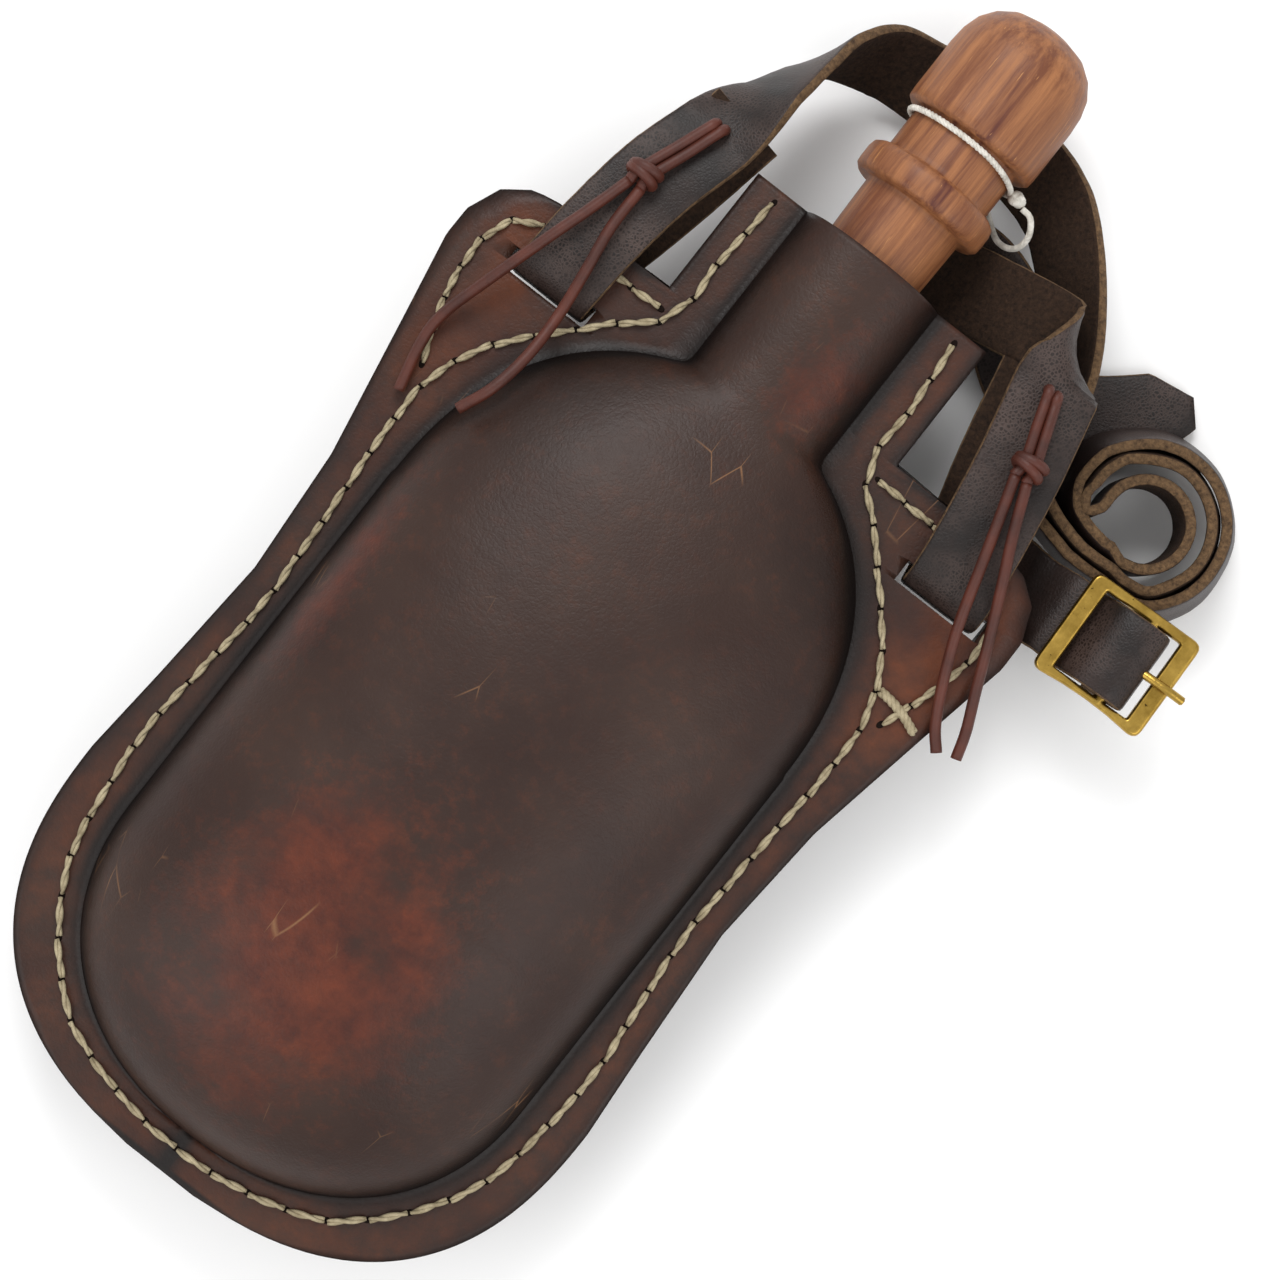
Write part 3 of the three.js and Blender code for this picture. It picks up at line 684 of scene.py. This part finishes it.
def thread_end():
    """The twisted end of the seam thread, left long on the right shoulder."""
    vertices, faces = [], []
    top = PARTING + LEATHER + GAP / 2
    middle = smooth_line([(57.5, 76.5, top + 0.7), (61, 76.2, top + 1.0), (65, 75.2, top + 1.1),
                          (68.6, 73.8, top + 0.9)], 0.5)
    for ply in range(3):
        line = []
        for k, point in enumerate(middle):
            turn = 0.75 * k + ply * math.tau / 3
            line.append(point + Vector((0, 0.55 * math.cos(turn), 0.45 * math.sin(turn))))
        add_skin(vertices, faces, tube_rings(line, 0.6, 8))
    piece = new_object("seam_thread_end", vertices, faces, [THREAD])
    face_outwards(piece)
    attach(piece, "bottle")


thread_end()


# ---- sling straps ---------------------------------------------------------------------------
FLAT = (1, 0, 0)
LEFT_TAB = [(-39.4, 154.5, 29.9, *FLAT), (-44, 132, 26, *FLAT), (-48.5, 114, 20.5, *FLAT),
            (-50.2, 104.5, 20.3, *FLAT), (-50.6, 100.5, 23.6, *FLAT), (-50.6, 100.3, 28, *FLAT),
            (-50.6, 100.7, 32, *FLAT), (-50, 105, 35.6, *FLAT), (-49.2, 116, 36.4, *FLAT),
            (-47, 132, 35.4, *FLAT), (-42.7, 148, 33.4, 1, 0, 0.15)]
ARCH = [(-39, 162.6, 30, 0.57, 0, 0.82), (-36.4, 173, 24, 0.25, -0.05, 0.97),
        (-32, 181, 18, -0.2, 0.1, 0.97), (-24.5, 186.3, 12, -0.45, 0.5, 0.74),
        (-13, 188.7, 7, -0.15, 0.85, 0.45), (0, 189.3, 4, 0, 1, 0.15),
        (13, 187.8, 7, 0.15, 0.85, 0.45), (25, 183, 12, 0.45, 0.6, 0.66),
        (36, 173, 15.4, 0.5, 0.4, 0.77), (46.4, 161.2, 17.8, 0.35, 0.2, 0.9),
        (52.6, 150, 14.4, 0.15, 0.05, 0.98), (54.4, 141, 13.6, 0, 0, 1),
        (58, 134, 13.2, 0, 0, 1), (65, 130.1, 13.2, 0, 0, 1), (73, 128.1, 13.2, 0, 0, 1)]
INNER_LAYER = [(-90, 13.6), (-70, 14.8), (-45, 16.1), (0, 16.1), (45, 16.1), (90, 16.1),
               (135, 16.1), (160, 16), (180, 15.4)]
BIGHT = [(66.9, 137.2), (69, 134.9), (71.2, 137.4)]
OUTER_LAYER = [(-105, 10.3), (-122, 11.7), (-145, 14.7), (-160, 17.2), (-180, 18.8),
               (-210, 19.3), (-250, 19.3), (-290, 19.3), (-330, 19.3), (-370, 19.3),
               (-405, 19.3), (-430, 18.1), (-450, 16.8)]
BUCKLE_RUN = [(72, 124.9, 13.2, 0, 0, 1), (63, 127, 12, 0, 0, 1), (55, 128.4, 10.2, 0, 0, 1),
              (49, 126, 9.8, 0, 0, 1), (47.5, 121, 9.8, 0, 0, 1), (51, 116.6, 9.8, 0, 0.25, 0.95),
              (58, 114.8, 11, 0, 0.75, 0.6), (64, 113.9, 14.6, 0, 0.97, 0.22),
              (71.5, 113, 19.4, 0, 1, 0.03), (77.6, 113.4, 24.1, 0, 1, 0)]
RIGHT_TAB = [(43.4, 151.4, 28.4, -1, 0, 0), (48, 131, 26, -1, 0, 0), (53.2, 114, 20.5, -1, 0, 0),
             (55.6, 103.5, 20.3, -1, 0, 0), (56, 99.5, 23.6, -1, 0, 0), (56, 99.3, 28, -1, 0, 0),
             (56, 99.7, 32, -1, 0, 0), (55.6, 104, 35.6, -1, 0, 0), (54, 115.6, 36.4, -1, 0, 0),
             (51.1, 132, 36.4, -1, 0, 0)]
RIGHT_END = [(24, 158, 18.8, 0, 1, 0.3), (12, 157, 10, 0, 1, 0.1), (0, 158, 8.3, 0, 1, 0),
             (-7, 158.6, 8, 0, 1, 0), (-11, 159, 5.1, 0, 1, 0), (-7, 159.4, 2.2, 0, 1, 0),
             (2, 161, 1.9, -0.2, 1, 0), (12, 163.5, 3.2, -0.1, 0.97, 0.2),
             (22, 163, 4.6, 0.1, 0.95, 0.3), (32, 158, 3.4, 0, 1, 0.05),
             (39.5, 152.4, 2.2, -0.2, 0.97, 0), (46.5, 149.6, 1.8, -0.4, 0.9, 0),
             (54, 150.6, 1.7, -0.6, 0.8, 0), (62, 156, 1.7, -0.64, 0.77, 0),
             (69, 162.2, 1.7, -0.65, 0.76, 0), (76, 168.5, 1.7, -0.65, 0.76, 0)]
ROLL = (46.9, 150.0, 36.6)
ROLL_RADIUS = 4.1


def coil_station(degrees, radius, lean=0.2):
    angle = math.radians(degrees)
    return (COIL[0] + radius * math.cos(angle), COIL[1] + radius * math.sin(angle), COIL[2],
            -lean * math.cos(angle), -lean * math.sin(angle), 1)


def buckle_station(u, z):
    return (BUCKLE[0] + u * math.cos(BUCKLE_TURN), BUCKLE[1] + u * math.sin(BUCKLE_TURN),
            BUCKLE[2] + z, -math.sin(BUCKLE_TURN), math.cos(BUCKLE_TURN), 0)


def chape_fold():
    fold = [(2.5 + 3.9 * math.cos(math.radians(d)), 3.9 * math.sin(math.radians(d)))
            for d in range(90, -91, -30)]
    return [buckle_station(u, z) for u, z in [(-11.5, -3.7), (-8.2, -3), (-3.6, 2.4), *fold, (-2, -4)]]


def diagonal_roll():
    stations = []
    for degrees in range(0, 181, 30):
        a = math.radians(degrees)
        over = ROLL_RADIUS * math.sin(a) * math.sqrt(0.5)
        along = ROLL_RADIUS * a * math.sqrt(0.5)
        stations.append((ROLL[0] + over - along, ROLL[1] + over + along,
                         ROLL[2] + ROLL_RADIUS * (math.cos(a) - 1),
                         (-1 - math.cos(a)) / 2, (1 - math.cos(a)) / 2,
                         math.sqrt(0.5) * math.sin(a)))
    return stations


SECTION = [(-1, -0.35), (-0.97, -0.85), (-0.88, -1), (-0.45, -1), (0, -1.02), (0.45, -1), (0.88, -1),
           (0.97, -0.85), (1, -0.35), (1, 0.35), (0.97, 0.85), (0.88, 1), (0.45, 1), (0, 1.02),
           (-0.45, 1), (-0.88, 1), (-0.97, 0.85), (-1, 0.35)]
EDGE_SPANS = {0, 7, 8, 9, 16, 17}
LOWER_SPANS = {1, 2, 3, 4, 5, 6}


def make_strap(name, node, stations, grain_below, grain_both_from, pointed=False):
    """grain_below says that the smooth grain is on the section's lower side, out of flesh and grain.
    From station number grain_both_from onwards, both sides are shown as grain."""
    centres = smooth_line([s[:3] for s in stations], STRAP_STEP)
    marks, widths = [], []
    for k, (a, b) in enumerate(zip(stations, stations[1:])):
        parts = max(1, round((Vector(b[:3]) - Vector(a[:3])).length / STRAP_STEP))
        for m in range(parts):
            marks.append(k + m / parts)
            widths.append(Vector(a[3:]).lerp(Vector(b[3:]), m / parts))
    marks.append(len(stations) - 1)
    widths.append(Vector(stations[-1][3:]))
    rings = []
    for k, point in enumerate(centres):
        along = (centres[min(k + 1, len(centres) - 1)] - centres[max(k - 1, 0)]).normalized()
        across = (widths[k] - along * widths[k].dot(along)).normalized()
        out = along.cross(across)
        left = (len(centres) - 1 - k) * STRAP_STEP
        taper = min(1.0, (3.6 + left * 0.62) / 9.5) if pointed and left < 12 else 1.0
        ragged = 0.16 * noise.noise(point / 1.7)
        rings.append([point + across * (u * STRAP_WIDTH / 2 * taper + ragged * abs(u) * 0.5)
                      + out * (v * STRAP_THICK / 2 + 0.08 * noise.noise((point + across * u * 9) / 3))
                      for u, v in SECTION])
    vertices, faces = [], []
    add_skin(vertices, faces, rings)
    piece = new_object(name, vertices, faces, [GRAIN, FLESH, EDGE])
    sides = len(SECTION)
    for index, polygon in enumerate(piece.data.polygons):
        span, ring = index % sides, index // sides
        if index >= sides * (len(rings) - 1) or span in EDGE_SPANS:
            polygon.material_index = 2
        elif marks[ring] >= grain_both_from:
            polygon.material_index = 0
        else:
            lower = span in LOWER_SPANS
            polygon.material_index = 0 if lower == grain_below else 1
    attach(piece, "bottle")
    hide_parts(node)
    return piece


left_stations = (LEFT_TAB + ARCH + [coil_station(*s) for s in INNER_LAYER]
                 + [(x, y, COIL[2], 0, 0, 1) for x, y in BIGHT]
                 + [coil_station(d, 9.7, 0) for d in range(180, -86, -22)]
                 + [coil_station(*s) for s in OUTER_LAYER] + BUCKLE_RUN + chape_fold())
stations_before_buckle = 5
buckle_from = len(left_stations) - len(chape_fold()) - stations_before_buckle
make_strap("sling_left", "strap_left", left_stations, True, buckle_from)
make_strap("sling_right", "strap_right", RIGHT_TAB + diagonal_roll() + RIGHT_END, False, math.inf, True)


# ---- lace ties ------------------------------------------------------------------------------
def make_tie(name, hole, knot, back_z, front_z):
    vertices, faces = [], []
    hole, knot = Vector(hole), Vector(knot)
    for side in (-1, 1):
        start = Vector((hole.x + side * 1.0, hole.y, back_z))
        over = Vector((hole.x + side * 1.1, hole.y, front_z - 0.4))
        down = Vector(((hole.x + knot.x) / 2 + side * 1.25, (hole.y + knot.y) / 2, front_z + 1.5))
        last = Vector((knot.x + side * 1.3, knot.y, knot.z))
        tail = last + Vector((side * 0.2, -3.4, 0))
        line = smooth_line([start, over, over.lerp(down, 0.3) + Vector((0, 0, 0.9)), down, last, tail], 0.8)
        add_skin(vertices, faces, tube_rings(line, 1.22, 10))
    for turn_z in (-0.7, 0.9):
        ring = [Vector((knot.x + 3.0 * math.cos(a), knot.y + turn_z + 0.5 * math.sin(a + turn_z),
                        knot.z + 2.5 * math.sin(a))) for a in np.linspace(0, math.tau, 28, endpoint=False)]
        add_skin(vertices, faces, closed_tube(ring, 1.2), closed=True)
    piece = new_object(name + "_lacing", vertices, faces, [THONG])
    face_outwards(piece)
    back = lump(name + "_back_knot", (hole.x, hole.y, back_z), (2.8, 2.8, 1.15), THONG, 1.3)
    for part in (piece, back):
        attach(part, "bottle")
        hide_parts(name)


def closed_tube(ring, radius, sides=10):
    rings = []
    count = len(ring)
    middle = sum(ring, Vector()) / count
    for k, point in enumerate(ring):
        along = (ring[(k + 1) % count] - ring[k - 1]).normalized()
        side = (point - middle)
        side = (side - along * side.dot(along)).normalized()
        other = along.cross(side)
        rings.append([point + side * radius * math.cos(math.tau * i / sides)
                      + other * radius * math.sin(math.tau * i / sides) for i in range(sides)])
    return rings


make_tie("left_thong_tie", (-42.9, 149.2, 36), (-49.2, 131, 40.6), 26.2, 37)
make_tie("right_thong_tie", (46.9, 148, 38), (52.4, 132.4, 41.8), 22.8, 40.4)


# ---- stopper and string loop ----------------------------------------------------------------
PROFILE = [(0, 120), (9.3, 120), (10.4, 121), (11.9, 150), (12.15, 161.4), (12.6, 161.6), (15.2, 161.8),
           (16.1, 162.7), (16.25, 164), (16.25, 166.8), (15.9, 168.2), (14.9, 168.9), (13.4, 169.1),
           (13, 169.6), (13, 179.6), (13.3, 180), (15.2, 180.1), (16.1, 180.8), (16.25, 182.5),
           (16.25, 195), (15.9, 199), (14.8, 202.6), (12.7, 205.6), (9.6, 207.9), (5.4, 209.2), (0, 209.5)]


def make_stopper():
    vertices, faces = [], []
    sides = 96
    points = [Vector((r, y, 0)) for r, y in PROFILE]
    rings = []
    for a, b in zip(points, points[1:]):
        parts = max(1, int((b - a).length / 1.2))
        for k in range(parts):
            radius, y, _ = a.lerp(b, k / parts)
            radius = max(radius, 0.02)
            ring = []
            for i in range(sides):
                angle = math.tau * i / sides
                tool = 0.05 * noise.noise(Vector((3 * math.cos(angle), y / 14, 3 * math.sin(angle))))
                size = radius + (tool if 121 < y < 205 else 0) - 0.03
                ring.append(Vector((size * math.cos(angle), y, PARTING + size * math.sin(angle))))
            rings.append(ring)
    add_skin(vertices, faces, rings)
    piece = new_object("wooden_stopper", vertices, faces, [WOOD])
    face_outwards(piece)
    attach(piece, "stopper")
    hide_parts("stopper")


make_stopper()


def make_string_loop():
    """Three plies laid round the stopper's groove, drawn into a knot on the right."""
    vertices, faces = [], []
    for ply in range(3):
        ring = []
        for k in range(150):
            a = math.tau * k / 150
            lay = 26 * a + ply * math.tau / 3
            radius = 14.0 + 0.33 * math.cos(lay)
            droop = -1.3 * max(0.0, math.cos(a)) ** 3
            ring.append(Vector((radius * math.cos(a), 178.4 + droop + 0.33 * math.sin(lay),
                                PARTING + radius * math.sin(a))))
        add_skin(vertices, faces, closed_tube(ring, 0.42, 6), closed=True)
    piece = new_object("string_loop_plies", vertices, faces, [STRING])
    face_outwards(piece)
    knot = lump("string_loop_knot", (15.9, 176.9, PARTING + 1.5), (1.9, 1.7, 1.9), STRING, 2.1)
    for part in (piece, knot):
        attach(part, "string")
        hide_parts("string_loop")


make_string_loop()


# ---- brass: the CAD buckle's shape, softened like a casting ----------------------------------
def cast_copy(node, body, name):
    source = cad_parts[node]
    piece = bpy.data.objects.new(name, source.data.copy())
    bpy.context.scene.collection.objects.link(piece)
    piece.data.materials.clear()
    piece.data.materials.append(BRASS)
    remesh = piece.modifiers.new("remesh", "REMESH")
    remesh.mode = "VOXEL"
    remesh.voxel_size = 0.22 * MM
    soften = piece.modifiers.new("soften", "SMOOTH")
    soften.factor = 0.5
    soften.iterations = 6
    apply_modifiers(piece)
    piece.data.polygons.foreach_set("use_smooth", [True] * len(piece.data.polygons))
    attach(piece, body)
    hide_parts(node)


cast_copy("buckle_frame", "buckle", "cast_buckle")
cast_copy("buckle_tongue", "tongue", "cast_tongue")


# ---- floor and light ------------------------------------------------------------------------
def make_stage():
    size = 2.0
    floor = new_object("floor", [(-size, -size, -0.0006), (size, -size, -0.0006), (size, size, -0.0006),
                                 (-size, size, -0.0006)], [(0, 1, 2, 3)], [], smooth=False)
    look = Look("pale_floor", rough=0.9, level=0.1)
    floor.data.materials.append(look.done(look.mix(look.noise(6), "f6f6f6", "fafafa")))
    world = bpy.data.worlds.new("studio")
    world.use_nodes = True
    world.node_tree.nodes["Background"].inputs["Color"].default_value = (1, 1, 1, 1)
    world.node_tree.nodes["Background"].inputs["Strength"].default_value = 0.75
    bpy.context.scene.world = world
    for name, place, energy, width in (("key", (-0.35, 0.55, 0.75), 4.5, 0.4),
                                       ("fill", (0.6, -0.1, 0.7), 2.5, 0.6),
                                       ("low", (-0.3, -0.5, 0.6), 2, 0.6)):
        data = bpy.data.lights.new(name, "AREA")
        data.energy = energy
        data.size = width
        lamp = bpy.data.objects.new(name, data)
        lamp.location = place
        lamp.rotation_euler = (Vector((0, 0.04, 0.03)) - Vector(place)).to_track_quat("-Z", "Y").to_euler()
        bpy.context.scene.collection.objects.link(lamp)
    bpy.context.scene.view_settings.view_transform = "Standard"


make_stage()
